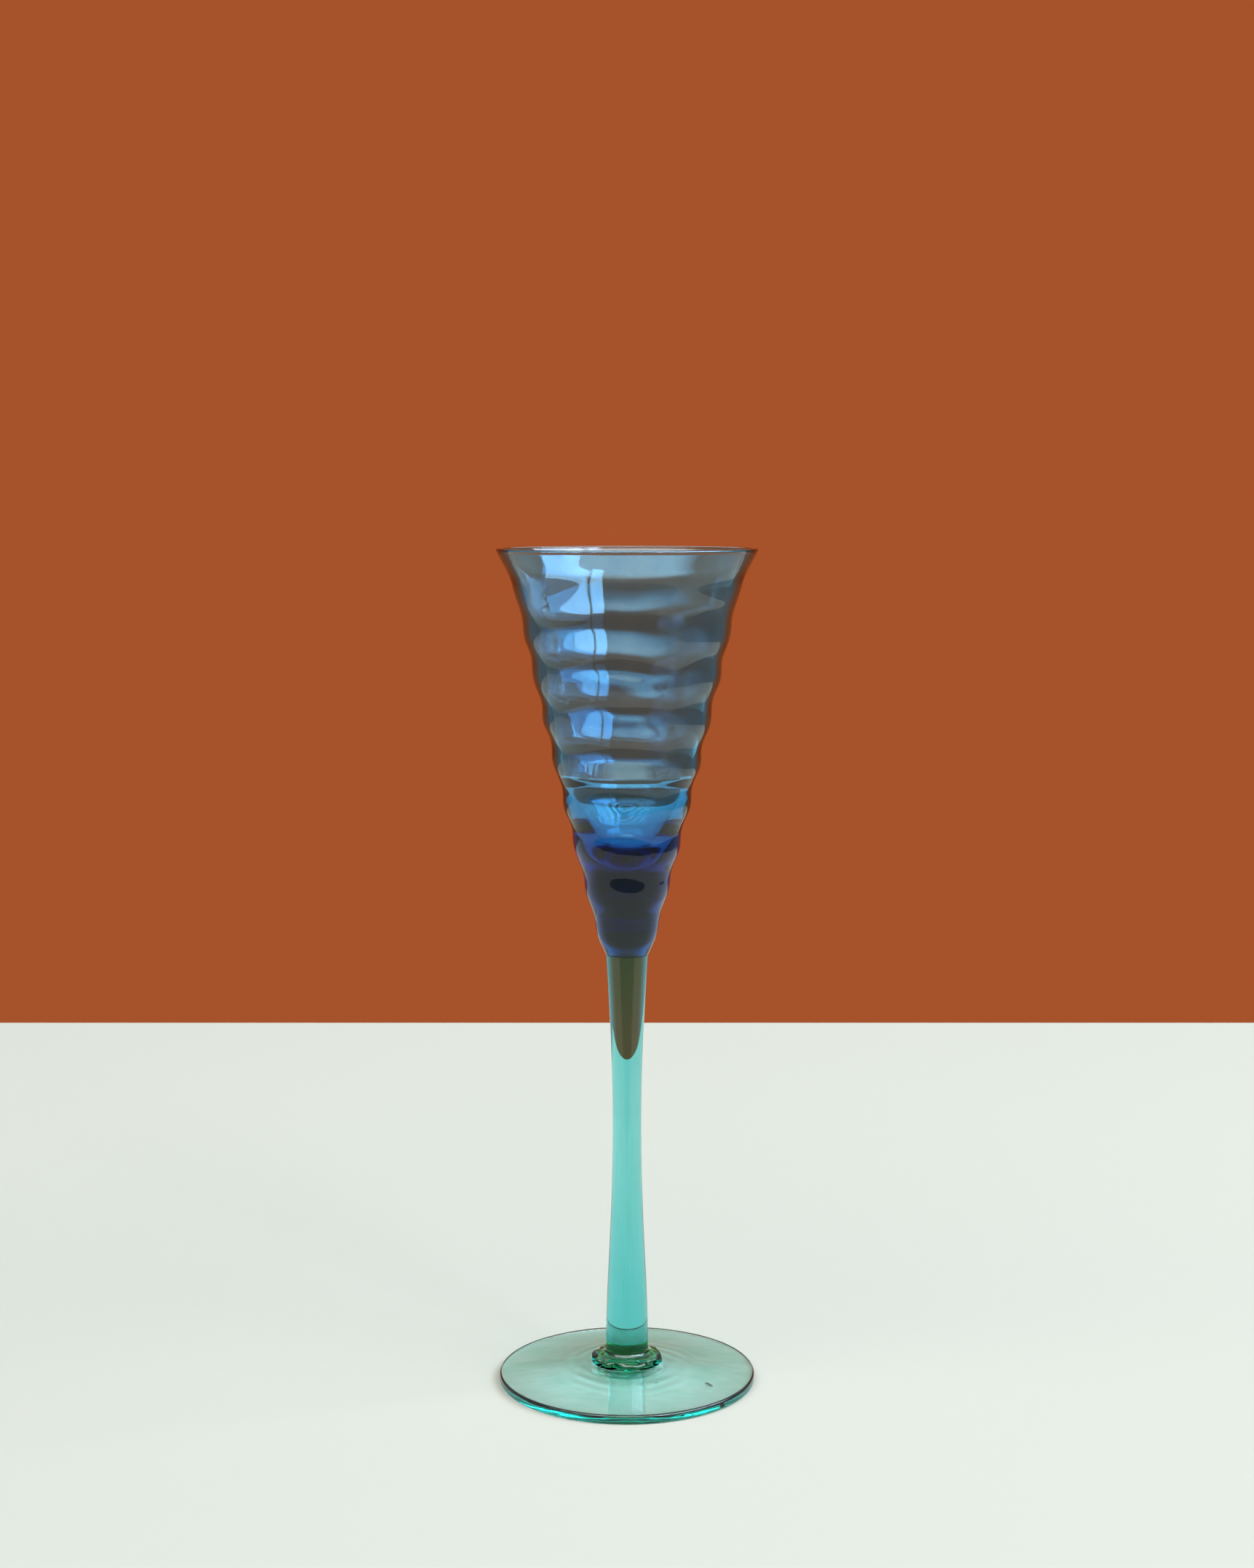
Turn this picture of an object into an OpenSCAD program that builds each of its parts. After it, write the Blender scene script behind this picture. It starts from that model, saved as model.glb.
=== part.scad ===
// Champagne flute, blown and joined hot: a blue bowl with soft rings round it, a drawn
// stem, a merese and a disc foot, each a separate piece of coloured glass.
// Millimetres, +Z up, origin at the centre of the flat ring that the foot stands on.

/* [Foot] */
// Outer diameter of the foot
foot_d = 69.8; // [50:0.2:90]
// Height of the foot's upright edge
foot_edge_t = 2.4; // [1.6:0.1:3.6]
// Radius of the softened corners of the foot's edge
foot_edge_round = 0.6; // [0.2:0.1:0.8]
// Thickness of the foot at its middle
foot_mid_t = 3; // [2:0.1:4]
// Height of the foot's middle, where the merese is joined
foot_mid_h = 5.1; // [4.2:0.1:9]
// Width of the flat ring under the foot's edge
foot_ring_w = 2; // [1:0.5:5]
// How late the top of the foot rises on its way to the middle
foot_sweep = 1.4; // [1:0.1:2.5]

/* [Merese] */
// Outer diameter of the merese
merese_d = 19.4; // [15:0.2:26]
// Height of the merese, from the foot to the stem
merese_h = 3.5; // [2.5:0.1:6]
// Thickness of the merese's rounded edge
merese_edge_t = 1.8; // [1:0.1:2.4]

/* [Stem] */
// Length of the stem, from the merese to the bowl
stem_l = 108.4; // [80:0.2:180]
// Diameter of the stem where it meets the merese
stem_low_d = 11.6; // [8:0.1:15]
// Diameter of the stem at its waist
stem_waist_d = 7.9; // [5:0.1:9]
// Diameter of the stem where it meets the bowl
stem_top_d = 11.6; // [8:0.1:15]
// Height of the waist above the merese
stem_waist_h = 64; // [20:1:100]

/* [Bowl] */
// Height of the bowl, from the stem to the lip
bowl_h = 111; // [80:0.5:160]
// Outer diameter of the lip
rim_d = 71.4; // [63:0.2:90]
// Outer diameter of the side where it starts to flare
throat_d = 61.4; // [45:0.2:68]
// Height of the flare, from its start to the lip
flare_h = 10; // [5:0.5:25]
// How softly the side turns into the flare
flare_soft = 3; // [1:0.5:8]
// Outer diameter of the side above its rounded shoulder
shoulder_d = 15.5; // [12:0.1:24]
// Height of the rounded shoulder above the stem
shoulder_h = 5; // [2:0.5:12]
// How far the side bows out, midway between shoulder and flare
belly = 0.7; // [0:0.1:4]
// Thickness of the side wall, measured level
wall_t = 2; // [1.2:0.1:3.2]
// How much thicker the wall gets at the step on its inside
wall_step_t = 0.9; // [0:0.1:1.2]
// Height above the stem of the top of that step
wall_step_h = 50; // [46:0.5:80]
// Height over which the step comes in
wall_step_soft = 3; // [1:0.5:8]
// Thickness of the wall low in the hollow, measured level
wall_low_t = 5.3; // [4.4:0.1:6]
// Height above the stem at which the wall starts to thicken on its way down
thicken_from_h = 45; // [38:0.5:80]
// Height above the stem at which the wall is at its thickest
thicken_to_h = 33; // [25:0.5:37]
// Thickness of the solid glass under the hollow
bowl_floor_t = 25.5; // [8:0.5:40]
// Height of the hollow's rounded bottom
hollow_round_h = 9; // [5:0.5:30]
// Radius of the polished corners of the lip
lip_round = 0.5; // [0.2:0.1:0.6]

/* [Rings] */
// Distance from one ring to the next
ring_pitch = 11.7; // [6:0.1:20]
// How far a ring's crest stands out from the side
ring_depth = 0.44; // [0:0.02:1]
// Distance from the lip down to the first crest
ring_first = 12.2; // [8:0.1:25]
// Part of the ring depth left at the shoulder and at the flare
ring_end_share = 0.45; // [0:0.05:1]
// Part of the ring depth that shows on the inside wall
ring_inside_share = 0.7; // [0:0.05:1]

/* [Hidden] */
$fn = 96;

// Spacing of the points along a curved outline
point_gap = 1;
// Degrees between the points of a rounded edge
round_gap = 15;
// Powers of the curves that take the stem from its waist to its two ends
stem_low_power = 1.4;
stem_top_power = 1.75;

// Heights of the three joints
merese_z = foot_mid_h;
stem_z = merese_z + merese_h;
bowl_z = stem_z + stem_l;

// Height in the bowl at which the side meets the corner of the lip
lip_h = bowl_h - lip_round;
// Height in the bowl at which the flare starts
throat_h = bowl_h - flare_h;

teal_glass = [0.37, 0.74, 0.7];
green_glass = [0.04, 0.55, 0.45];
blue_glass = [0.2, 0.48, 0.78];

// Rises from 0 to 1 with level ends
function ease(u) = u * u * (3 - 2 * u);

// Evenly spaced places from a to b, both ends in
function places(a, b, gap = point_gap) =
    let (n = max(1, ceil(abs(b - a) / gap)))
    [for (i = [0 : n]) a + (b - a) * i / n];

// Points of an arc round c, with the half axes a and b, from angle a0 to a1
function arc(c, a, b, a0, a1) =
    [for (t = places(a0, a1, round_gap)) [c[0] + a * cos(t), c[1] + b * sin(t)]];

// Radius of the foot at which its softened corners begin, and of the flat ring's inside
foot_edge_r = foot_d / 2 - foot_edge_round;
foot_ring_r = foot_edge_r - foot_ring_w;

// Height of the foot's top and of its hollowed underside at a radius
function foot_top(r) =
    let (u = (foot_edge_r - r) / (foot_edge_r - merese_d / 2))
    foot_edge_t + (foot_mid_h - foot_edge_t) * pow(u, foot_sweep);
function foot_under(r) = (foot_mid_h - foot_mid_t) * ease(1 - r / foot_ring_r);

// Disc foot: flat where the merese sits, hollowed below, upright at the edge
module foot() {
    color(teal_glass)
        rotate_extrude()
            polygon(concat(
                [for (r = places(0, foot_ring_r)) [r, foot_under(r)]],
                arc([foot_edge_r, foot_edge_round], foot_edge_round, foot_edge_round, -90, 0),
                arc([foot_edge_r, foot_edge_t - foot_edge_round], foot_edge_round, foot_edge_round, 0, 90),
                [for (r = places(foot_edge_r - point_gap, merese_d / 2)) [r, foot_top(r)]],
                [[0, foot_mid_h]]
            ));
}

// Merese: a flat button with a round edge that sweeps up to the stem
module merese() {
    edge_r = merese_edge_t / 2;
    flat_r = merese_d / 2 - edge_r;
    color(green_glass)
        translate([0, 0, merese_z])
            rotate_extrude()
                polygon(concat(
                    [[0, 0]],
                    arc([flat_r, edge_r], edge_r, edge_r, -90, 90),
                    arc([flat_r, merese_h], flat_r - stem_low_d / 2, merese_h - merese_edge_t,
                        270 - round_gap, 180),
                    [[0, merese_h]]
                ));
}

// Radius of the stem at a height above the merese
function stem_r(h) =
    h < stem_waist_h
    ? (stem_waist_d + (stem_low_d - stem_waist_d)
        * pow(ease(1 - h / stem_waist_h), stem_low_power)) / 2
    : (stem_waist_d + (stem_top_d - stem_waist_d)
        * pow((h - stem_waist_h) / (stem_l - stem_waist_h), stem_top_power)) / 2;

// Stem: one solid rod, drawn in to a waist
module stem() {
    color(teal_glass)
        translate([0, 0, stem_z])
            rotate_extrude()
                polygon(concat(
                    [[0, 0]],
                    [for (h = places(0, stem_l, 2 * point_gap)) [stem_r(h), h]],
                    [[0, stem_l]]
                ));
}

// Share of the way from the shoulder to the throat
function up_side(h) = (h - shoulder_h) / (throat_h - shoulder_h);

// Radius of the bowed side at a height in the bowl, with no rings, flare or shoulder
function side_r(h) =
    let (s = up_side(h))
    (shoulder_d + (throat_d - shoulder_d) * s) / 2 + belly * 4 * s * (1 - s);

// Depth of the rings at a height: least at the ends of the side, none at the lip
function ring_size(h) =
    let (
        s = min(max(up_side(h), 0), 1),
        along = ring_end_share + (1 - ring_end_share) * (1 - pow(2 * s - 1, 2)),
        to_lip = min(1, (lip_h - h) / (lip_h - throat_h))
    )
    ring_depth * along * to_lip;
function ring_r(h) = ring_size(h) * cos(360 * (bowl_h - ring_first - h) / ring_pitch);

// The flare's outward turn at a height, and its width there
function flare_turn(h) = let (x = h - throat_h) x + sqrt(x * x + flare_soft * flare_soft);
function flare_r(h) = (rim_d / 2 - side_r(lip_h)) * flare_turn(h) / flare_turn(lip_h);

// How far the shoulder draws in below the side, down to the stem's own size
function shoulder_r(h) =
    h >= shoulder_h ? 0
    : (side_r(0) + ring_r(0) + flare_r(0) - stem_top_d / 2) * pow(1 - h / shoulder_h, 2);

function outer_r(h) = side_r(h) + flare_r(h) + ring_r(h) - shoulder_r(h);

// A height's share of the way down from the top of a stretch, never under 0 or over 1
function down(h, top, stretch) = min(max((top - h) / stretch, 0), 1);

// Thickness of the wall at a height: a step on its inside, then growing towards the bottom
function wall(h) =
    let (
        stepped_t = wall_t + wall_step_t * ease(down(h, wall_step_h, wall_step_soft)),
        lower = down(h, thicken_from_h, thicken_from_h - thicken_to_h)
    )
    stepped_t + (wall_low_t - wall_t - wall_step_t) * lower * lower;

// Share of the hollow's width left by its rounded bottom
function hollow_share(h) =
    let (u = (h - bowl_floor_t) / hollow_round_h)
    u >= 1 ? 1 : sqrt(max(0, 1 - pow(1 - u, 2)));
function inner_r(h) =
    (side_r(h) + flare_r(h) + ring_inside_share * ring_r(h) - wall(h)) * hollow_share(h);

// Heights of the points down the hollow, close together in its rounded bottom
function hollow_heights() = concat(
    places(lip_h, bowl_floor_t + hollow_round_h),
    [for (a = places(0, 90 - round_gap / 3, round_gap / 3))
        if (a > 0) bowl_floor_t + hollow_round_h * (1 - sin(a))]
);

// Bowl: a flared cone with rings, solid at its bottom
module bowl() {
    color(blue_glass)
        translate([0, 0, bowl_z])
            rotate_extrude()
                polygon(concat(
                    [[0, 0]],
                    [for (h = places(0, lip_h - point_gap / 2)) [outer_r(h), h]],
                    arc([rim_d / 2 - lip_round, lip_h], lip_round, lip_round, 0, 90),
                    arc([rim_d / 2 - wall_t + lip_round, lip_h], lip_round, lip_round, 90, 180),
                    [for (h = hollow_heights()) if (h < lip_h) [inner_r(h), h]],
                    [[0, bowl_floor_t]]
                ));
}

foot();
merese();
stem();
bowl();
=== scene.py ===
"""A blown champagne flute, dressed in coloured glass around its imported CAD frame.

Four pieces of hot glass were joined one on another: a pale teal disc foot, a dark green
merese, a drawn teal stem and a ringed blue bowl. Each has a class here that holds its
sizes and builds it. Sizes are millimetres until a mesh is made, which is in metres.
"""

import logging
import math
from dataclasses import dataclass
from enum import Enum
from typing import Any, Callable, Sequence

import bmesh
import bpy
from mathutils import Matrix, Vector, noise


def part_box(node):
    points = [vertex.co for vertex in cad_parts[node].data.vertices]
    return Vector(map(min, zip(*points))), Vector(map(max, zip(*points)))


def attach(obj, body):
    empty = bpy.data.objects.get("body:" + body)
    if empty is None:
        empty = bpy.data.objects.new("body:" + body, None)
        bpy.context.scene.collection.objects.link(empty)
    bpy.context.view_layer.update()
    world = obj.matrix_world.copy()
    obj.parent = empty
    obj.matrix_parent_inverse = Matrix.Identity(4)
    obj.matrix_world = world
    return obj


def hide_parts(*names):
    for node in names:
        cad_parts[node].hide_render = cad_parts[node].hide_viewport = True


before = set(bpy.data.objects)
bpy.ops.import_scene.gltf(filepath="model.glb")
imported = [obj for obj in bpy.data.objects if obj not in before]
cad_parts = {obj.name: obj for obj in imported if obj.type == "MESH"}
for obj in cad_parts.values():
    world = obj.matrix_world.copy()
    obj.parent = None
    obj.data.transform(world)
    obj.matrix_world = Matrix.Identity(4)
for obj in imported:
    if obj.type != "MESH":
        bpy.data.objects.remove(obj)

MM = 0.001
BODY = "root"
FUSED = "fused_joint"
RING_SHARE = "ring_share"
# Half of the hair's breadth left between two pieces at their fused joint, in mm
JOINT_GAP = 0.015
# Radius under which a point counts as on the axis, in mm
ON_AXIS = 0.015
# Degrees between the points of a rounded edge
ARC_STEP = 9
# Degrees between the points of the hollow's rounded bottom
FLOOR_STEP = 4
# Distance between the points of a plain outline, and of the bowl's, in mm
OUTLINE_GAP = 0.6
BOWL_GAP = 0.5

log = logging.getLogger("flute")


class Slot(Enum):
    """The record's material slots, one for each colour of glass."""

    TEAL = "teal_glass"
    GREEN = "green_glass"
    BLUE = "blue_glass"


@dataclass(frozen=True)
class Turn:
    """One point of a half section that is turned round the axis.

    Attributes:
        r: Radius in millimetres.
        z: Height in millimetres.
        fused: True where the surface from here to the next point is a fused joint.
        share: The part of the rings' depth that this point takes.
    """

    r: float
    z: float
    fused: bool = False
    share: float = 0.0


def linear(colour: str) -> tuple[float, float, float]:
    """Turns an sRGB hex colour into linear red, green and blue.

    Args:
        colour: The colour, such as "#5BB3E4".

    Returns:
        Three linear shares from 0 to 1.
    """
    shares = [int(colour[i : i + 2], 16) / 255 for i in (1, 3, 5)]
    return tuple(c / 12.92 if c <= 0.04045 else ((c + 0.055) / 1.055) ** 2.4 for c in shares)


def ease(u: float) -> float:
    """Rises from 0 to 1 with level ends, and stays level outside."""
    u = min(max(u, 0.0), 1.0)
    return u * u * (3 - 2 * u)


def places(start: float, end: float, gap: float) -> list[float]:
    """Evenly spaced places from start to end, both ends in.

    Args:
        start: The first place.
        end: The last place.
        gap: The most that two neighbours may be apart.

    Returns:
        The places in order.
    """
    count = max(1, math.ceil(abs(end - start) / gap))
    return [start + (end - start) * i / count for i in range(count + 1)]


def arc(
    centre: tuple[float, float], across: float, up: float, start: float, end: float
) -> list[tuple[float, float]]:
    """Points of an elliptic arc in a half section.

    Args:
        centre: Radius and height of the arc's centre.
        across: Half axis along the radius.
        up: Half axis along the height.
        start: First angle in degrees.
        end: Last angle in degrees.

    Returns:
        Points of radius and height, one every few degrees.
    """
    return [
        (centre[0] + across * math.cos(a), centre[1] + up * math.sin(a))
        for a in places(math.radians(start), math.radians(end), math.radians(ARC_STEP))
    ]


def add_node(
    tree: bpy.types.NodeTree,
    kind: str,
    settings: dict[str, Any] | None = None,
    inputs: dict[str | int, Any] | None = None,
) -> bpy.types.Node:
    """Adds a node with its settings and links.

    Args:
        tree: The node tree to add to.
        kind: The node's type name.
        settings: Properties to set on the node.
        inputs: Values or output sockets for its inputs, by name or number.

    Returns:
        The new node.
    """
    node = tree.nodes.new(kind)
    for key, value in (settings or {}).items():
        setattr(node, key, value)
    for key, value in (inputs or {}).items():
        if isinstance(value, bpy.types.NodeSocket):
            tree.links.new(value, node.inputs[key])
        else:
            node.inputs[key].default_value = value
    return node


def ramp(
    tree: bpy.types.NodeTree,
    value: bpy.types.NodeSocket,
    start: Any,
    end: Any,
    first: Any = 0.0,
    last: Any = 1.0,
) -> bpy.types.NodeSocket:
    """Adds a node that ramps evenly with a value and stays level past both ends.

    Args:
        tree: The node tree to add to.
        value: The socket that the ramp follows.
        start: The value at which the ramp starts.
        end: The value at which it ends.
        first: The result at the start.
        last: The result at the end.

    Returns:
        The ramp's output socket.
    """
    inputs = {
        "Value": value, "From Min": start, "From Max": end, "To Min": first, "To Max": last,
    }
    return add_node(tree, "ShaderNodeMapRange", inputs=inputs).outputs["Result"]


def turned(name: str, section: Sequence[Turn], around: int) -> bpy.types.Object:
    """Turns a half section round the axis into a closed mesh that faces outwards.

    Args:
        name: The object's name.
        section: Points from the axis, outwards, up and back to the axis.
        around: How many flat sides the turned shape has.

    Returns:
        The new object, with its fused joints and ring shares as attributes.
    """
    corners, rows, shares = [], [], []
    for point in section:
        count = 1 if point.r < ON_AXIS else around
        rows.append(range(len(corners), len(corners) + count))
        for i in range(count):
            angle = 2 * math.pi * i / around
            x, y = point.r * math.cos(angle), point.r * math.sin(angle)
            corners.append((x * MM, y * MM, point.z * MM))
            shares.append(point.share)
    faces, fused = [], []
    for lower, (a, b) in enumerate(zip(rows, rows[1:])):
        for i in range(around):
            j = (i + 1) % around
            if len(a) == 1:
                face = (a[0], b[j], b[i])
            elif len(b) == 1:
                face = (a[i], a[j], b[0])
            else:
                face = (a[i], a[j], b[j], b[i])
            faces.append(face)
            fused.append(float(section[lower].fused))
    mesh = bpy.data.meshes.new(name)
    mesh.from_pydata(corners, [], faces)
    mesh.attributes.new(FUSED, "FLOAT", "FACE").data.foreach_set("value", fused)
    mesh.attributes.new(RING_SHARE, "FLOAT", "POINT").data.foreach_set("value", shares)
    piece = bpy.data.objects.new(name, mesh)
    bpy.context.scene.collection.objects.link(piece)
    smoothed(mesh)
    return piece


def smoothed(mesh: bpy.types.Mesh) -> None:
    """Shades a mesh smooth, with a crisp edge round each fused joint."""
    form = bmesh.new()
    form.from_mesh(mesh)
    joint = form.faces.layers.float.get(FUSED)
    for face in form.faces:
        face.smooth = True
    for edge in form.edges:
        sides = {face[joint] > 0.5 for face in edge.link_faces}
        edge.smooth = len(sides) == 1
    form.to_mesh(mesh)
    form.free()


def reshaped(piece: bpy.types.Object, move: Callable[[Vector], Vector]) -> None:
    """Moves every point of a mesh by a rule in millimetres.

    Args:
        piece: The object whose mesh is moved.
        move: Takes a point in millimetres and returns its new place.
    """
    for vertex in piece.data.vertices:
        vertex.co = move(vertex.co / MM) * MM


@dataclass(frozen=True)
class Bubble:
    """A bubble of air that was caught in the glass.

    Attributes:
        centre: Its middle, in millimetres.
        half: Its half lengths along its own three axes, in millimetres.
        turn: How far it is turned about the height, in degrees.
    """

    centre: tuple[float, float, float]
    half: tuple[float, float, float]
    turn: float

    def skin(self) -> bpy.types.Mesh:
        """Makes the bubble's skin, which faces into its air, in metres."""
        form = bmesh.new()
        place = Matrix.Translation(Vector(self.centre) * MM) @ Matrix.Rotation(
            math.radians(self.turn), 4, "Z"
        )
        bmesh.ops.create_icosphere(
            form, subdivisions=3, radius=MM, matrix=place @ Matrix.Diagonal((*self.half, 1))
        )
        bmesh.ops.reverse_faces(form, faces=form.faces)
        for face in form.faces:
            face.smooth = True
        mesh = bpy.data.meshes.new("bubble")
        form.to_mesh(mesh)
        form.free()
        return mesh


def plain_mesh(piece: bpy.types.Object) -> None:
    """Turns a piece's modifiers into a plain mesh and removes them."""
    view = bpy.context.evaluated_depsgraph_get()
    result = bpy.data.meshes.new_from_object(
        piece.evaluated_get(view), preserve_all_data_layers=True, depsgraph=view
    )
    old = piece.data
    piece.modifiers.clear()
    piece.data = result
    bpy.data.meshes.remove(old)


@dataclass(frozen=True)
class BlownGlass:
    """Soda-lime glass coloured in the melt, shaped hot and fire-polished.

    The skin is as smooth as a liquid, so it mirrors sharply and never looks frosted. The
    colour is in the depth, so thin walls are pale and solid glass is deep. Tools and breath
    leave a faint swim in what shows through, and the stirred melt leaves pale streaks.

    Attributes:
        name: The finish's name.
        through: sRGB colour of white light after it has gone through `depth` of the glass.
        depth: Thickness of glass that gives that colour, in millimetres.
        streak: sRGB tint that the streaks of the melt leave.
        streak_size: Width of the streaks across x, y and z, in millimetres.
        streak_from: Level of the melt's noise at which a streak starts to show.
        streak_to: Level of that noise at which the streak has its full tint.
        swim_gap: Distance between the waves left in the skin, in millimetres.
        swim_height: Height of those waves, in millimetres.
        ior: How strongly the glass bends light.
    """

    name: str
    through: str
    depth: float
    streak: str
    streak_size: tuple[float, float, float]
    streak_from: float = 0.35
    streak_to: float = 0.75
    swim_gap: float = 7.0
    swim_height: float = 0.02
    ior: float = 1.5

    def losses(self) -> list[float]:
        """Light lost in each metre of the glass, for red, green and blue."""
        return [-math.log(share) / (self.depth * MM) for share in linear(self.through)]

    def material(self) -> bpy.types.Material:
        """Builds the glass as nodes.

        Returns:
            The material, clear at its skin and coloured by absorption in its depth.
        """
        made = bpy.data.materials.new(self.name)
        made.use_nodes = True
        tree = made.node_tree
        tree.nodes.clear()
        spot = add_node(tree, "ShaderNodeTexCoord").outputs["Object"]
        stretch = tuple(1 / (size * MM) for size in self.streak_size)
        drawn = add_node(tree, "ShaderNodeMapping", inputs={"Vector": spot, "Scale": stretch})
        melt = add_node(
            tree,
            "ShaderNodeTexNoise",
            inputs={"Vector": drawn.outputs[0], "Scale": 1.0, "Detail": 2.0, "Distortion": 0.6},
        )
        tint = add_node(tree, "ShaderNodeValToRGB", inputs={0: melt.outputs["Fac"]})
        clear, streaked = tint.color_ramp.elements
        clear.position, clear.color = self.streak_from, (1, 1, 1, 1)
        streaked.position, streaked.color = self.streak_to, (*linear(self.streak), 1)
        waves = add_node(
            tree,
            "ShaderNodeTexNoise",
            inputs={"Vector": spot, "Scale": 1 / (self.swim_gap * MM), "Detail": 1.0},
        )
        skin = add_node(
            tree,
            "ShaderNodeBump",
            inputs={"Height": waves.outputs["Fac"], "Distance": self.swim_height * MM},
        )
        joint = add_node(
            tree, "ShaderNodeAttribute", {"attribute_type": "GEOMETRY", "attribute_name": FUSED}
        )
        # At a fused joint light goes straight on into the next glass, so nothing bends it there
        bend = ramp(tree, joint.outputs["Fac"], 0.0, 1.0, self.ior, 1.0)
        body = add_node(
            tree,
            "ShaderNodeBsdfPrincipled",
            inputs={
                "Base Color": tint.outputs["Color"],
                "Roughness": 0.0,
                "Transmission Weight": 1.0,
                "IOR": bend,
                "Normal": skin.outputs["Normal"],
            },
        )
        losses = self.losses()
        most = max(losses)
        depth = add_node(
            tree,
            "ShaderNodeVolumeAbsorption",
            inputs={"Color": (*[1 - loss / most for loss in losses], 1), "Density": most},
        )
        add_node(
            tree,
            "ShaderNodeOutputMaterial",
            inputs={"Surface": body.outputs[0], "Volume": depth.outputs[0]},
        )
        return made


BLUE_BOWL_GLASS = BlownGlass(
    "cobalt_and_copper_blue_glass_blown", "#5CAFDA", 5.0, "#F2F8FF", (6.0, 6.0, 30.0), swim_gap=9.0
)
TEAL_ROD_GLASS = BlownGlass(
    "copper_teal_glass_drawn", "#6CDADC", 10.0, "#EAF8F2", (1.2, 1.2, 40.0), swim_height=0.01
)
TEAL_DISC_GLASS = BlownGlass(
    "copper_teal_glass_spun", "#B0F6F4", 10.0, "#DDF3EA", (14.0, 4.0, 14.0), swim_gap=5.0
)
GREEN_BUTTON_GLASS = BlownGlass(
    "iron_green_glass_pressed", "#0CC69A", 3.0, "#8EEBC4", (2.0, 2.0, 1.0), swim_gap=2.5
)


@dataclass
class Piece:
    """What every piece of the flute shares: where its CAD solid stands, and its finish.

    Attributes:
        node: Name of the CAD node that the piece stands for.
        name: Name of the finished piece.
        slot: The record's material slot. Not used.
        finish: The glass it is made of.
        around: How many flat sides the turned mesh has.
    """

    node: str
    name: str
    slot: Slot
    finish: BlownGlass
    around: int

    def __post_init__(self) -> None:
        """Reads where the piece stands from its CAD node, in millimetres."""
        low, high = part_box(self.node)
        self.bottom = low.z / MM
        self.top = high.z / MM
        self.radius = (high.x - low.x) / MM / 2

    def build(self) -> bpy.types.Object:
        """Makes the piece's mesh."""
        raise NotImplementedError

    def dress(self, piece: bpy.types.Object) -> None:
        """Gives the piece its glass, unless a node tree has already set it."""
        if not piece.data.materials:
            piece.data.materials.append(self.finish.material())

    def make(self) -> bpy.types.Object:
        """Builds and dresses the piece and ties it to the frame.

        Returns:
            The finished object.
        """
        piece = self.build()
        self.dress(piece)
        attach(piece, BODY)
        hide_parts(self.node)
        faces = len(piece.data.polygons)
        log.info("%s: %d faces, %.1f to %.1f mm high", self.name, faces, self.bottom, self.top)
        return piece


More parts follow.
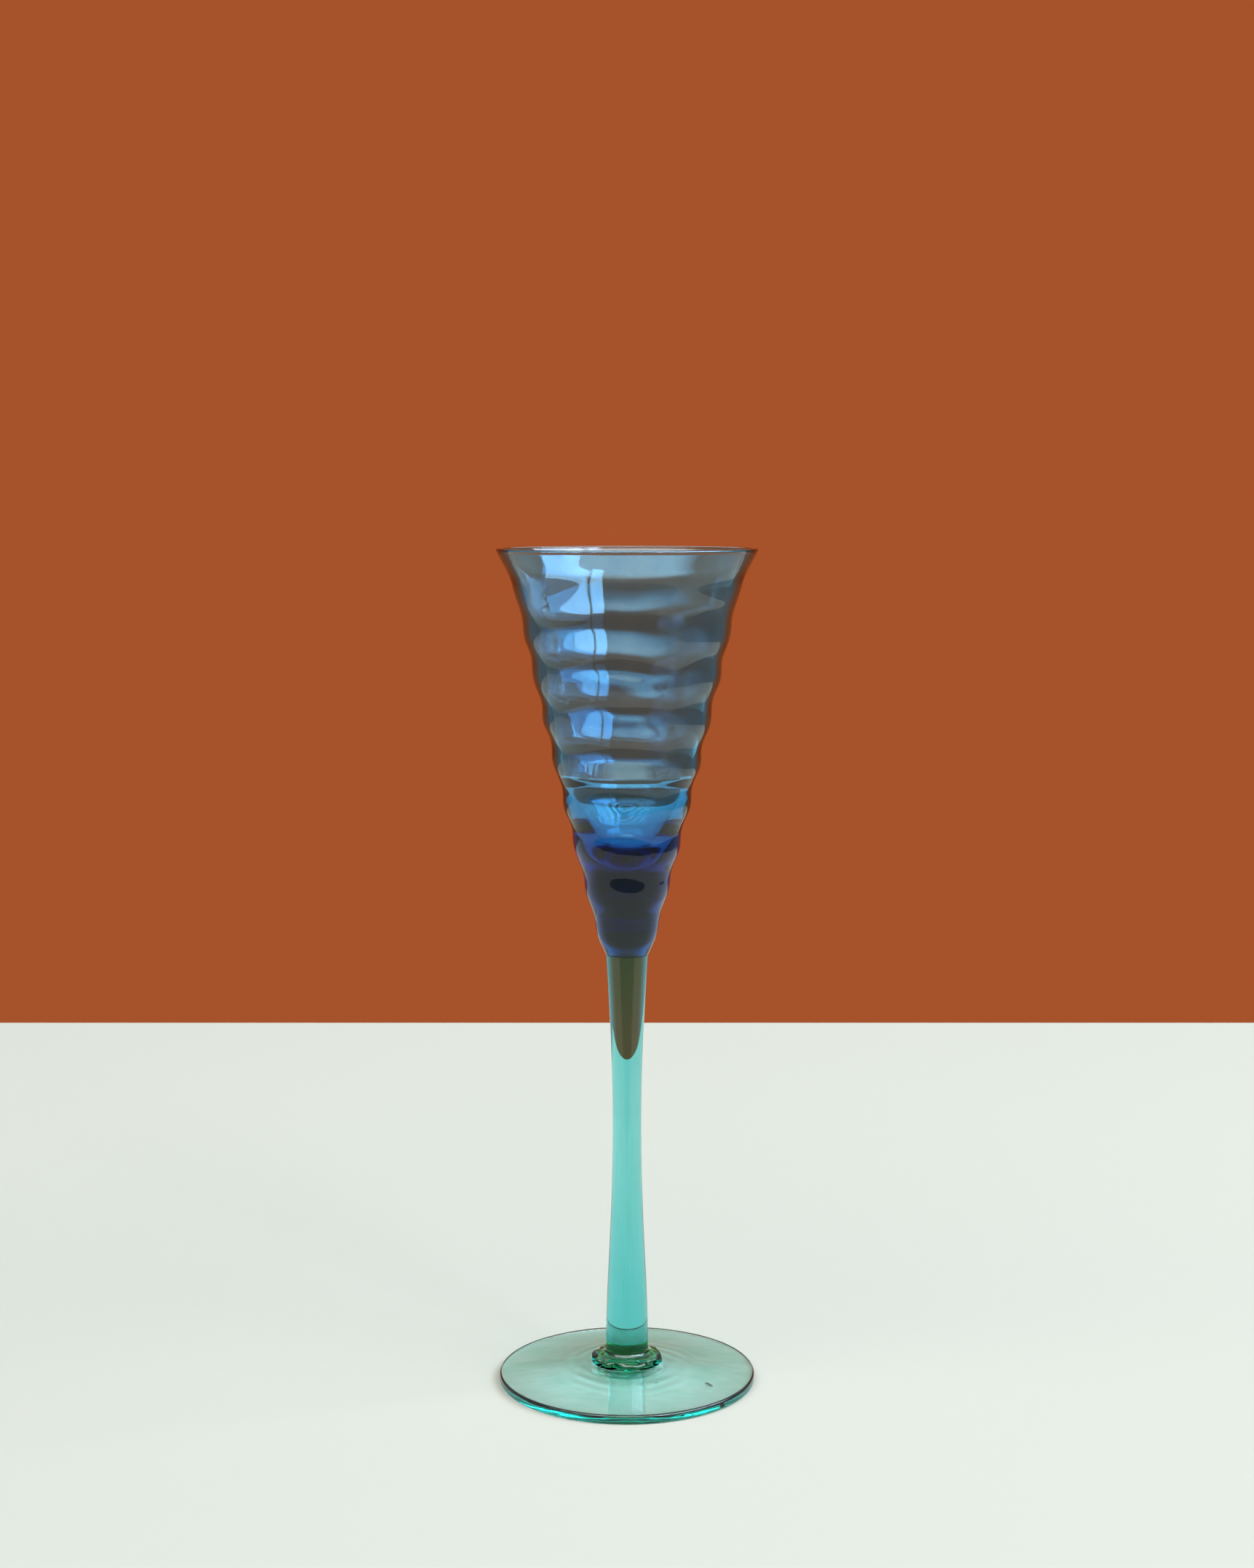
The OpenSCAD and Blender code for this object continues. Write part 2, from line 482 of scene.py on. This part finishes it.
@dataclass
class Foot(Piece):
    """The disc foot: spun flat from a gather, hollowed below, with a softened upright edge.

    Attributes:
        edge_height: Height of the upright edge, in millimetres like every size here.
        edge_round: Radius of the edge's two corners.
        middle_height: Thickness of the glass at the middle.
        ring_width: Width of the flat ring that the foot stands on.
        sweep: How late the top rises on its way to the middle.
        merese_radius: Radius of the merese, under which the top is flat.
        top_gap: Distance between the points of the top's outline, fine enough for the ridges.
        edge_clear: Distance from the edge's corner to the next point of the top.
        ridge_gap: Distance from one tool ridge to the next.
        ridge_height: Height of the ridges.
        ridge_fade_in: Distance from the merese over which the ridges come in.
        ridge_fade_from: Radius at which the ridges start to fade.
        ridge_to: Radius at which they are gone.
        ridge_drift: How far the ridges wander, in radians of their wave.
        ridge_patch: Size of the patches in which they wander together.
        ridge_level: Height at which their wander is read from the noise.
        bubbles: The bubbles that the foot holds.
    """

    edge_height: float = 2.4
    edge_round: float = 0.6
    middle_height: float = 3.0
    ring_width: float = 2.0
    sweep: float = 1.4
    merese_radius: float = 9.7
    top_gap: float = 0.35
    edge_clear: float = 0.5
    ridge_gap: float = 4.2
    ridge_height: float = 0.028
    ridge_fade_in: float = 2.0
    ridge_fade_from: float = 14.0
    ridge_to: float = 22.0
    ridge_drift: float = 3.5
    ridge_patch: float = 14.0
    ridge_level: float = 3.0
    bubbles: tuple[Bubble, ...] = (
        Bubble(centre=(22, -13.2, 1.9), half=(0.75, 1.8, 0.03), turn=25),
        Bubble(centre=(7.9, -13.6, 2.4), half=(0.3, 0.5, 0.2), turn=70),
    )

    def over(self, r: float) -> float:
        """Height of the top at a radius."""
        edge = self.radius - self.edge_round
        rise = max(0.0, (edge - r) / (edge - self.merese_radius))
        whole_rise = self.top - JOINT_GAP - self.edge_height
        return self.edge_height + whole_rise * min(rise, 1.0) ** self.sweep

    def under(self, r: float) -> float:
        """Height of the hollowed underside at a radius."""
        ring = self.radius - self.edge_round - self.ring_width
        return (self.top - self.middle_height) * ease(1 - r / ring)

    def tooled(self, point: Vector) -> Vector:
        """Adds the low spiral ridges that the tool left round the merese."""
        r = math.hypot(point.x, point.y)
        if point.z < self.under(r) + self.edge_height / 2 or r <= self.merese_radius:
            return point
        turn = math.atan2(point.y, point.x)
        fade = ease((r - self.ridge_fade_from) / (self.ridge_to - self.ridge_fade_from))
        share = ease((r - self.merese_radius) / self.ridge_fade_in) * (1 - fade)
        patch = Vector((point.x, point.y, self.ridge_level)) / self.ridge_patch
        drift = self.ridge_drift * noise.noise(patch)
        wave = math.cos(2 * math.pi * (r - self.merese_radius) / self.ridge_gap + turn + drift)
        return point + Vector((0, 0, self.ridge_height * share * wave))

    def build(self) -> bpy.types.Object:
        """Makes the disc with its tool ridges and its two bubbles."""
        soft = self.edge_round
        edge = self.radius - soft
        ring = edge - self.ring_width
        section = [Turn(r, self.under(r)) for r in places(0, ring, OUTLINE_GAP)]
        section += [Turn(r, z) for r, z in arc((edge, soft), soft, soft, -90, 0)]
        section += [Turn(r, z) for r, z in arc((edge, self.edge_height - soft), soft, soft, 0, 90)]
        top = places(edge - self.edge_clear, self.merese_radius, self.top_gap)
        section += [Turn(r, self.over(r)) for r in top[:-1]]
        section.append(Turn(self.merese_radius, self.top - JOINT_GAP, fused=True))
        section.append(Turn(0, self.top - JOINT_GAP))
        piece = turned(self.name, section, self.around)
        reshaped(piece, self.tooled)
        form = bmesh.new()
        form.from_mesh(piece.data)
        for bubble in self.bubbles:
            skin = bubble.skin()
            form.from_mesh(skin)
            bpy.data.meshes.remove(skin)
        form.to_mesh(piece.data)
        form.free()
        return piece


@dataclass
class Merese(Piece):
    """The green button between foot and stem, pinched and twisted while it was soft.

    Attributes:
        edge_height: Height of the rounded edge, in millimetres like every size here.
        stem_radius: Radius at which the stem's joint starts.
        lobe_depth: How far a unit of noise pushes the edge in.
        lobe_size: Distance round the edge over which the noise changes.
        lobe_level: How much the noise changes from the bottom of the button to its top.
        lobe_from: Level of the noise under which the edge is pushed in.
    """

    edge_height: float = 1.8
    stem_radius: float = 5.8
    lobe_depth: float = 1.6
    lobe_size: float = 3.0
    lobe_level: float = 2.0
    lobe_from: float = 0.35

    def pinched(self, point: Vector) -> Vector:
        """Pushes parts of the button's edge in, as the pincers left it."""
        r = math.hypot(point.x, point.y)
        share = ease((r - self.stem_radius) / (self.radius - self.stem_radius))
        if share == 0:
            return point
        turn = math.atan2(point.y, point.x)
        around = Vector((math.cos(turn), math.sin(turn), 0)) * self.radius / self.lobe_size
        level = (point.z - self.bottom) / (self.top - self.bottom)
        lobe = noise.noise(around + Vector((0, 0, self.lobe_level * level))) - self.lobe_from
        push = self.lobe_depth * share * min(lobe, 0.0)
        return point + Vector((point.x, point.y, 0)) / r * push

    def build(self) -> bpy.types.Object:
        """Makes the button with its round edge and its sweep up to the stem."""
        half = self.edge_height / 2
        flat = self.radius - half
        low, high = self.bottom + JOINT_GAP, self.top - JOINT_GAP
        edge = arc((flat, low + half), half, half, -90, 90)
        across, up = flat - self.stem_radius, high - low - self.edge_height
        sweep = arc((flat, high), across, up, 270 - ARC_STEP, 180)
        section = [Turn(0, low, fused=True), Turn(flat / 2, low, fused=True), Turn(flat, low)]
        section += [Turn(r, z) for r, z in edge[1:] + sweep[:-1]]
        section += [Turn(self.stem_radius, high, fused=True), Turn(0, high)]
        piece = turned(self.name, section, self.around)
        reshaped(piece, self.pinched)
        return piece


@dataclass
class Stem(Piece):
    """The stem: one gather drawn out by hand into a rod with a waist.

    Attributes:
        low_radius: Radius at the merese, in millimetres like every size here.
        top_radius: Radius at the bowl.
        waist_radius: Radius at the waist.
        waist_height: Height of the waist above the merese.
        low_power: How late the rod widens on its way down from the waist.
        top_power: How late it widens on its way up.
    """

    low_radius: float = 5.8
    top_radius: float = 5.8
    waist_radius: float = 3.95
    waist_height: float = 64.0
    low_power: float = 1.4
    top_power: float = 1.75

    def radius_at(self, h: float) -> float:
        """Radius of the rod at a height above the merese."""
        length = self.top - self.bottom
        if h < self.waist_height:
            fall = ease(1 - h / self.waist_height)
            return self.waist_radius + (self.low_radius - self.waist_radius) * fall**self.low_power
        rise = (h - self.waist_height) / (length - self.waist_height)
        return self.waist_radius + (self.top_radius - self.waist_radius) * rise**self.top_power

    def build(self) -> bpy.types.Object:
        """Makes the solid rod."""
        low, high = self.bottom + JOINT_GAP, self.top - JOINT_GAP
        section = [Turn(0, low, fused=True)]
        heights = places(0, high - low, OUTLINE_GAP)
        section += [Turn(self.radius_at(h), low + h) for h in heights[:-1]]
        section += [Turn(self.top_radius, high, fused=True), Turn(0, high)]
        return turned(self.name, section, self.around)


@dataclass
class Bowl(Piece):
    """The blown bowl: a tall cone with rings round it, flared at the lip, solid below.

    Attributes:
        flare_height: Height of the flare, in millimetres like every size here.
        flare_soft: How softly the side turns into the flare.
        throat_radius: Radius of the side where the flare starts.
        shoulder_radius: Radius of the side above its rounded shoulder.
        shoulder_height: Height of the shoulder above the stem.
        stem_radius: Radius at the stem's joint.
        belly: How far the side bows out, midway between shoulder and flare.
        wall: Thickness of the wall, measured level.
        step: How much thicker the wall gets at the step on its inside.
        step_top: Height of the top of that step above the stem.
        step_height: Height over which the step comes in.
        low_wall: Thickness of the wall low in the hollow.
        thicken_from: Height at which the wall starts to thicken on its way down.
        thicken_to: Height at which it is at its thickest.
        floor: Thickness of the solid glass under the hollow.
        floor_round: Height of the hollow's rounded bottom.
        lip_round: Radius of the lip's two corners.
        ring_pitch: Distance from one ring to the next.
        ring_depth: How far a ring's crest stands out.
        first_ring: Distance from the lip down to the first crest.
        end_share: Part of the ring depth left at the shoulder and at the flare.
        inside_share: Part of the ring depth that shows on the inside.
        unevenness: How far the rings drift up and down, in turns of their wave.
        patch_size: Size of the patches in which they drift together.
        seeds_per_area: Seeds on each square metre of the shell.
        seed_radius: Radius of a seed, the tiny bubble that blowing leaves.
        seed_least: The smallest seed's share of that radius.
        seed_most: The largest seed's share of it.
        random_seed: The number that fixes where the seeds and the drift fall.
    """

    flare_height: float = 10.0
    flare_soft: float = 3.0
    throat_radius: float = 30.7
    shoulder_radius: float = 7.75
    shoulder_height: float = 5.0
    stem_radius: float = 5.8
    belly: float = 0.7
    wall: float = 2.0
    step: float = 0.9
    step_top: float = 50.0
    step_height: float = 3.0
    low_wall: float = 5.3
    thicken_from: float = 45.0
    thicken_to: float = 33.0
    floor: float = 25.5
    floor_round: float = 9.0
    lip_round: float = 0.5
    ring_pitch: float = 11.7
    ring_depth: float = 0.44
    first_ring: float = 12.2
    end_share: float = 0.45
    inside_share: float = 0.7
    unevenness: float = 0.5
    patch_size: float = 22.0
    seeds_per_area: float = 1200.0
    seed_radius: float = 0.11
    seed_least: float = 0.5
    seed_most: float = 1.3
    random_seed: int = 7

    def __post_init__(self) -> None:
        """Works out the heights that the outline turns on."""
        super().__post_init__()
        self.height = self.top - self.bottom
        self.lip = self.height - self.lip_round
        self.throat = self.height - self.flare_height

    def side(self, h: float) -> float:
        """Radius of the smooth side, before the shoulder and the rings."""
        up = (h - self.shoulder_height) / (self.throat - self.shoulder_height)
        bow = self.belly * 4 * up * (1 - up)
        return self.shoulder_radius + (self.throat_radius - self.shoulder_radius) * up + bow

    def flare(self, h: float) -> float:
        """How far the flare stands out from the cone at a height."""

        def opening(at: float) -> float:
            """How far the side has turned outwards at a height."""
            x = at - self.throat
            return x + math.hypot(x, self.flare_soft)

        return (self.radius - self.side(self.lip)) * opening(h) / opening(self.lip)

    def outer(self, h: float) -> Turn:
        """The outside at a height, drawn in to the stem below the shoulder."""
        short = max(0.0, 1 - h / self.shoulder_height) ** 2
        drawn = (self.side(0) + self.flare(0) - self.stem_radius) * short
        return Turn(self.side(h) + self.flare(h) - drawn, h + self.bottom, share=1 - short)

    def inner(self, h: float) -> Turn:
        """The inside at a height, with its step, its thick low wall and its rounded bottom."""
        below = (self.thicken_from - h) / (self.thicken_from - self.thicken_to)
        stepped = self.wall + self.step * ease((self.step_top - h) / self.step_height)
        wall = stepped + (self.low_wall - self.wall - self.step) * min(max(below, 0.0), 1.0) ** 2
        low = min(1.0, (h - self.floor) / self.floor_round)
        share = math.sqrt(max(0.0, 1 - (1 - low) ** 2))
        r = (self.side(h) + self.flare(h) - wall) * share
        return Turn(r, h + self.bottom, share=self.inside_share * share)

    def section(self) -> list[Turn]:
        """The half section without its rings.

        Returns:
            Points from the joint, up the outside, over the lip and down the hollow.
        """
        round_r = self.lip_round
        out = self.radius - round_r
        inside = self.radius - self.wall + round_r
        lip_z = self.lip + self.bottom
        points = [Turn(0, self.bottom + JOINT_GAP, fused=True)]
        points += [self.outer(h) for h in places(0, self.lip - BOWL_GAP / 2, BOWL_GAP)]
        points[1] = Turn(self.stem_radius, self.bottom + JOINT_GAP)
        points += [Turn(r, z) for r, z in arc((out, lip_z), round_r, round_r, 0, 90)]
        points += [Turn(r, z) for r, z in arc((inside, lip_z), round_r, round_r, 90, 180)]
        wall_foot = self.floor + self.floor_round
        points += [self.inner(h) for h in places(self.lip, wall_foot, BOWL_GAP)[1:]]
        for angle in places(0, math.pi / 2, math.radians(FLOOR_STEP))[1:]:
            points.append(self.inner(self.floor + self.floor_round * (1 - math.sin(angle))))
        points[-1] = Turn(0, self.floor + self.bottom)
        return points

    def ring_tree(self) -> bpy.types.NodeTree:
        """Builds the node tree that swells the rings and scatters the seeds.

        Returns:
            The tree, with a named input for each size of the rings and the seeds.
        """
        tree = bpy.data.node_groups.new("blown_rings", "GeometryNodeTree")
        tree.interface.new_socket("Geometry", in_out="OUTPUT", socket_type="NodeSocketGeometry")
        tree.interface.new_socket("Geometry", in_out="INPUT", socket_type="NodeSocketGeometry")
        for name in self.tree_sizes():
            tree.interface.new_socket(name, in_out="INPUT", socket_type="NodeSocketFloat")
        tree.interface.new_socket("Random Seed", in_out="INPUT", socket_type="NodeSocketInt")
        tree.interface.new_socket("Glass", in_out="INPUT", socket_type="NodeSocketMaterial")
        given = add_node(tree, "NodeGroupInput").outputs
        ringed = self.ringed(tree, given)
        seeds = self.seeds(tree, given, ringed)
        both = add_node(tree, "GeometryNodeJoinGeometry")
        tree.links.new(seeds, both.inputs[0])
        tree.links.new(ringed, both.inputs[0])
        real = add_node(tree, "GeometryNodeRealizeInstances", inputs={0: both.outputs[0]})
        dressed = add_node(
            tree, "GeometryNodeSetMaterial",
            inputs={"Geometry": real.outputs[0], "Material": given["Glass"]},
        )
        add_node(tree, "NodeGroupOutput", inputs={0: dressed.outputs[0]})
        return tree

    def ringed(self, tree: bpy.types.NodeTree, given: Any) -> bpy.types.NodeSocket:
        """Adds the nodes that swell the shell into uneven rings.

        Args:
            tree: The node tree to add to.
            given: The tree's own inputs, by name.

        Returns:
            The ringed shell.
        """
        spot = add_node(tree, "GeometryNodeInputPosition").outputs[0]
        axes = add_node(tree, "ShaderNodeSeparateXYZ", inputs={0: spot}).outputs
        named = add_node(
            tree, "GeometryNodeInputNamedAttribute", {"data_type": "FLOAT"}, {"Name": RING_SHARE}
        )
        patch = add_node(
            tree, "ShaderNodeTexNoise", {"noise_dimensions": "4D"},
            {"Vector": spot, "W": given["Random Seed"], "Scale": given["Patches"], "Detail": 1.0},
        )
        values = {
            "height": axes["Z"],
            "along": ramp(tree, axes["Z"], given["Side From"], given["Side To"], -1.0, 1.0),
            "to_lip": ramp(tree, axes["Z"], given["Side To"], given["Lip"], 1.0, 0.0),
            "share": named.outputs["Attribute"],
            "patch": patch.outputs[0],
            **{name: given[name] for name in self.tree_sizes()},
        }
        rule = (
            ("bowed", "MULTIPLY", "along", "along"),
            ("lost", "MULTIPLY", "bowed", "End Loss"),
            ("kept", "SUBTRACT", 1.0, "lost"),
            ("size", "MULTIPLY", "kept", "Ring Depth"),
            ("swell", "MULTIPLY", "size", "to_lip"),
            ("depth", "MULTIPLY", "swell", "share"),
            ("below", "SUBTRACT", "height", "First Crest"),
            ("turns", "DIVIDE", "below", "Ring Pitch"),
            ("centred", "SUBTRACT", "patch", 0.5),
            ("drift", "MULTIPLY", "centred", "Unevenness"),
            ("phase", "ADD", "turns", "drift"),
            ("angle", "MULTIPLY", "phase", 2 * math.pi),
            ("wave", "COSINE", "angle", 0.0),
            ("shift", "MULTIPLY", "wave", "depth"),
        )
        for name, operation, first, second in rule:
            pair = {i: values.get(term, term) for i, term in enumerate((first, second))}
            step = add_node(tree, "ShaderNodeMath", {"operation": operation}, pair)
            values[name] = step.outputs[0]
        level = add_node(tree, "ShaderNodeCombineXYZ", inputs={0: axes["X"], 1: axes["Y"]})
        outwards = add_node(
            tree, "ShaderNodeVectorMath", {"operation": "NORMALIZE"}, {0: level.outputs[0]}
        )
        offset = add_node(
            tree, "ShaderNodeVectorMath", {"operation": "SCALE"},
            {0: outwards.outputs[0], "Scale": values["shift"]},
        )
        return add_node(
            tree, "GeometryNodeSetPosition",
            inputs={"Geometry": given["Geometry"], "Offset": offset.outputs[0]},
        ).outputs[0]

    def seeds(
        self, tree: bpy.types.NodeTree, given: Any, ringed: bpy.types.NodeSocket
    ) -> bpy.types.NodeSocket:
        """Adds the nodes that scatter seeds in the glass, half a wall below its skin.

        Args:
            tree: The node tree to add to.
            given: The tree's own inputs, by name.
            ringed: The shell that holds the seeds.

        Returns:
            The seeds.
        """
        points = add_node(
            tree, "GeometryNodeDistributePointsOnFaces",
            inputs={
                "Mesh": ringed, "Density": given["Seeds Per Area"], "Seed": given["Random Seed"]
            },
        ).outputs
        inwards = add_node(
            tree, "ShaderNodeVectorMath", {"operation": "SCALE"},
            {0: points["Normal"], "Scale": given["Seed Depth"]},
        )
        sunk = add_node(
            tree, "GeometryNodeSetPosition",
            inputs={"Geometry": points["Points"], "Offset": inwards.outputs[0]},
        )
        ball = add_node(
            tree, "GeometryNodeMeshIcoSphere",
            inputs={"Radius": given["Seed Radius"], "Subdivisions": 2},
        )
        facing_in = add_node(tree, "GeometryNodeFlipFaces", inputs={0: ball.outputs[0]})
        smooth = add_node(tree, "GeometryNodeSetShadeSmooth", inputs={0: facing_in.outputs[0]})
        spread = add_node(
            tree, "FunctionNodeRandomValue", {"data_type": "FLOAT"},
            {2: self.seed_least, 3: self.seed_most, "Seed": given["Random Seed"]},
        )
        return add_node(
            tree, "GeometryNodeInstanceOnPoints",
            inputs={
                "Points": sunk.outputs[0], "Instance": smooth.outputs[0],
                "Scale": spread.outputs[1],
            },
        ).outputs[0]

    def tree_sizes(self) -> dict[str, float]:
        """The node tree's named sizes, in metres where they are lengths."""
        return {
            "Ring Pitch": self.ring_pitch * MM,
            "Ring Depth": self.ring_depth * MM,
            "First Crest": (self.top - self.first_ring) * MM,
            "End Loss": 1 - self.end_share,
            "Side From": (self.bottom + self.shoulder_height) * MM,
            "Side To": (self.bottom + self.throat) * MM,
            "Lip": (self.bottom + self.lip) * MM,
            "Unevenness": self.unevenness,
            "Patches": 1 / (self.patch_size * MM),
            "Seeds Per Area": self.seeds_per_area,
            "Seed Radius": self.seed_radius * MM,
            "Seed Depth": -self.wall / 2 * MM,
        }

    def build(self) -> bpy.types.Object:
        """Makes the smooth shell, then lets the node tree ring it and seed it."""
        piece = turned(self.name, self.section(), self.around)
        tree = self.ring_tree()
        rings = piece.modifiers.new("rings", "NODES")
        rings.node_group = tree
        wanted = {
            **self.tree_sizes(),
            "Random Seed": self.random_seed,
            "Glass": self.finish.material(),
        }
        for item in tree.interface.items_tree:
            if item.in_out == "INPUT" and item.name in wanted:
                rings[item.identifier] = wanted[item.name]
        plain_mesh(piece)
        return piece


@dataclass
class Studio:
    """The pale table, the room, the window and the camera. Not the object.

    Attributes:
        table_left: Left edge of the table top, in millimetres like every size here.
        table_right: Its right edge.
        table_front: Its front edge.
        table_back: Its back edge.
        table_gap: How far the table top lies under the foot.
        table_colour: sRGB colour of the table top.
        table_roughness: Roughness of the table top.
        table_shine: How strongly the table top mirrors, where 0.5 is usual.
        window_distance: Distance from the flute to the window.
        sill_height: Height of the window's bottom.
        sky_height: Height at which the street ends and the sky starts in the window.
        window_top: Height of the window's top.
        panes: Name, first and last bearing of each pane, in degrees to the right of the
            way from the flute to the camera.
        sky_colour: sRGB colour of the sky in the window.
        street_colour: sRGB colour of the street in the window.
        sky_glow: Brightness of that sky.
        street_glow: Brightness of that street.
        skylight_glow: Brightness of the sky high up on the camera's side.
        room_colour: sRGB colour of the room at the sides and behind the camera.
        wall_colour: sRGB colour of the wall behind the flute.
        ceiling_colour: sRGB colour of the ceiling.
        wall_edge: Y of the direction where the room ends, and where the wall is whole.
        ceiling_edge: Z of the direction where the sides end, and where the ceiling is whole.
        front_edge: Y of the direction where the skylight starts, and where it is whole.
        skylight_edge: Z of the direction where it starts, and where it is whole.
        eye: Place of the camera.
        tilt: How far the camera looks down, in degrees.
        lens_length: The lens's focal length.
        sensor_width: Width of the camera's sensor.
        lens_shift: How far the view is shifted up, or down if below zero, as a share of the
            picture's longer side.
    """

    table_left: float = -1500.0
    table_right: float = 485.0
    table_front: float = -265.0
    table_back: float = 459.0
    table_gap: float = 0.08
    table_colour: str = "#8D887E"
    table_roughness: float = 1.0
    table_shine: float = 0.1
    window_distance: float = 1600.0
    sill_height: float = 450.0
    sky_height: float = 950.0
    window_top: float = 2100.0
    panes: tuple[tuple[str, float, float], ...] = (("narrow", 30.0, 45.0), ("wide", 48.0, 108.0))
    sky_colour: str = "#C9E4FF"
    street_colour: str = "#B4BFD6"
    sky_glow: float = 14.0
    street_glow: float = 2.5
    skylight_glow: float = 9.0
    room_colour: str = "#82929A"
    wall_colour: str = "#A6522B"
    ceiling_colour: str = "#E2ECEE"
    wall_edge: tuple[float, float] = (0.6, 0.86)
    ceiling_edge: tuple[float, float] = (0.3, 0.48)
    front_edge: tuple[float, float] = (0.0, -0.3)
    skylight_edge: tuple[float, float] = (0.5, 0.62)
    eye: tuple[float, float, float] = (0, -668, 241)
    tilt: float = 1.86
    lens_length: float = 56.4
    sensor_width: float = 36
    lens_shift: float = -0.13

    def table(self) -> None:
        """Lays the matt pale table top under the flute.

        It lies a hair under the foot. At exactly one height with the foot's flat ring, the
        two surfaces would show a false brown band.
        """
        corners = [
            (x * MM, y * MM, -self.table_gap * MM)
            for x, y in (
                (self.table_left, self.table_front),
                (self.table_right, self.table_front),
                (self.table_right, self.table_back),
                (self.table_left, self.table_back),
            )
        ]
        mesh = bpy.data.meshes.new("table_top")
        mesh.from_pydata(corners, [], [(0, 1, 2, 3)])
        top = bpy.data.objects.new("table_top", mesh)
        bpy.context.scene.collection.objects.link(top)
        matt = bpy.data.materials.new("matt_laminate")
        matt.use_nodes = True
        shader = matt.node_tree.nodes["Principled BSDF"]
        shader.inputs["Base Color"].default_value = (*linear(self.table_colour), 1)
        shader.inputs["Roughness"].default_value = self.table_roughness
        shader.inputs["Specular IOR Level"].default_value = self.table_shine
        mesh.materials.append(matt)

    def surroundings(self) -> None:
        """Sets the room that lights the glass and shows through it.

        A warm wall is behind the flute, a cool grey room at its sides and behind the camera,
        and a pale ceiling above. High up on the camera's side is a bright sky.
        """
        world = bpy.data.worlds.new("room")
        bpy.context.scene.world = world
        world.use_nodes = True
        tree = world.node_tree
        tree.nodes.clear()
        way = add_node(tree, "ShaderNodeTexCoord").outputs["Generated"]
        axes = add_node(tree, "ShaderNodeSeparateXYZ", inputs={0: way}).outputs
        behind = ramp(tree, axes["Y"], *self.wall_edge)
        above = ramp(tree, axes["Z"], *self.ceiling_edge)
        room, wall, ceiling = (
            (*linear(colour), 1)
            for colour in (self.room_colour, self.wall_colour, self.ceiling_colour)
        )
        mixed = {"data_type": "RGBA"}
        sides = add_node(tree, "ShaderNodeMix", mixed, {0: behind, 6: room, 7: wall})
        all_round = add_node(
            tree, "ShaderNodeMix", mixed, {0: above, 6: sides.outputs[2], 7: ceiling}
        )
        in_front = ramp(tree, axes["Y"], *self.front_edge)
        skylight = ramp(tree, axes["Z"], *self.skylight_edge, last=in_front)
        strength = ramp(tree, skylight, 0.0, 1.0, 1.0, self.skylight_glow)
        glow = add_node(
            tree, "ShaderNodeBackground",
            inputs={"Color": all_round.outputs[2], "Strength": strength},
        )
        add_node(tree, "ShaderNodeOutputWorld", inputs={"Surface": glow.outputs[0]})

    def soft_light(
        self,
        name: str,
        place: Vector,
        aim: Vector,
        size: tuple[float, float],
        power: float,
        colour: str,
    ) -> None:
        """Hangs one soft box.

        Args:
            name: The light's name.
            place: Its middle, in millimetres.
            aim: The point that it faces, in millimetres.
            size: Its width and height, in millimetres.
            power: Its power in watts.
            colour: Its sRGB colour.
        """
        lamp = bpy.data.lights.new(name, "AREA")
        lamp.shape = "RECTANGLE"
        lamp.size, lamp.size_y = size[0] * MM, size[1] * MM
        lamp.energy = power
        lamp.color = linear(colour)
        box = bpy.data.objects.new(name, lamp)
        box.location = place * MM
        box.rotation_euler = (aim - place).to_track_quat("-Z", "Y").to_euler()
        bpy.context.scene.collection.objects.link(box)

    def lights(self) -> None:
        """Hangs a window of two panes on the right, with sky above and street below."""
        levels = (
            ("sky", self.sky_height, self.window_top, self.sky_glow, self.sky_colour),
            ("street", self.sill_height, self.sky_height, self.street_glow, self.street_colour),
        )
        for side, start, end in self.panes:
            turn = math.radians(start + end) / 2
            width = 2 * self.window_distance * math.tan(math.radians(end - start) / 2)
            place = Vector((math.sin(turn), -math.cos(turn), 0)) * self.window_distance
            for level, low, high, glow, colour in levels:
                place.z = (low + high) / 2
                size = (width, high - low)
                power = math.pi * glow * size[0] * size[1] * MM * MM
                facing = Vector((0, 0, place.z))
                self.soft_light(f"{side}_{level}", place, facing, size, power, colour)

    def camera(self) -> None:
        """Stands the camera a little above the lip, looking slightly down."""
        lens = bpy.data.cameras.new("camera")
        lens.lens = self.lens_length
        lens.sensor_width = self.sensor_width
        lens.shift_y = self.lens_shift
        eye = bpy.data.objects.new("camera", lens)
        eye.location = Vector(self.eye) * MM
        eye.rotation_euler = (math.radians(90 - self.tilt), 0, 0)
        bpy.context.scene.collection.objects.link(eye)
        bpy.context.scene.camera = eye

    def make(self) -> None:
        """Sets out the whole studio."""
        self.camera()
        self.table()
        self.surroundings()
        self.lights()
        bpy.context.scene.view_settings.view_transform = "Standard"
        # The filter for glossy light is off, because it darkens what lies under the glass
        bpy.context.scene.cycles.blur_glossy = 0.0
        log.info("studio: table, room, window of two panes and camera")


def main() -> None:
    """Builds the studio and the four pieces of glass, and notes their size."""
    logging.basicConfig(level=logging.INFO, format="%(name)s %(message)s")
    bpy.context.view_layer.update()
    Studio().make()
    pieces = (
        Foot("foot", "disc_foot", Slot.TEAL, TEAL_DISC_GLASS, 192),
        Merese("merese", "merese_button", Slot.GREEN, GREEN_BUTTON_GLASS, 160),
        Stem("stem", "drawn_stem", Slot.TEAL, TEAL_ROD_GLASS, 128),
        Bowl("bowl", "ringed_bowl", Slot.BLUE, BLUE_BOWL_GLASS, 192),
    )
    for piece in pieces:
        piece.make()


if __name__ == "__main__":
    main()
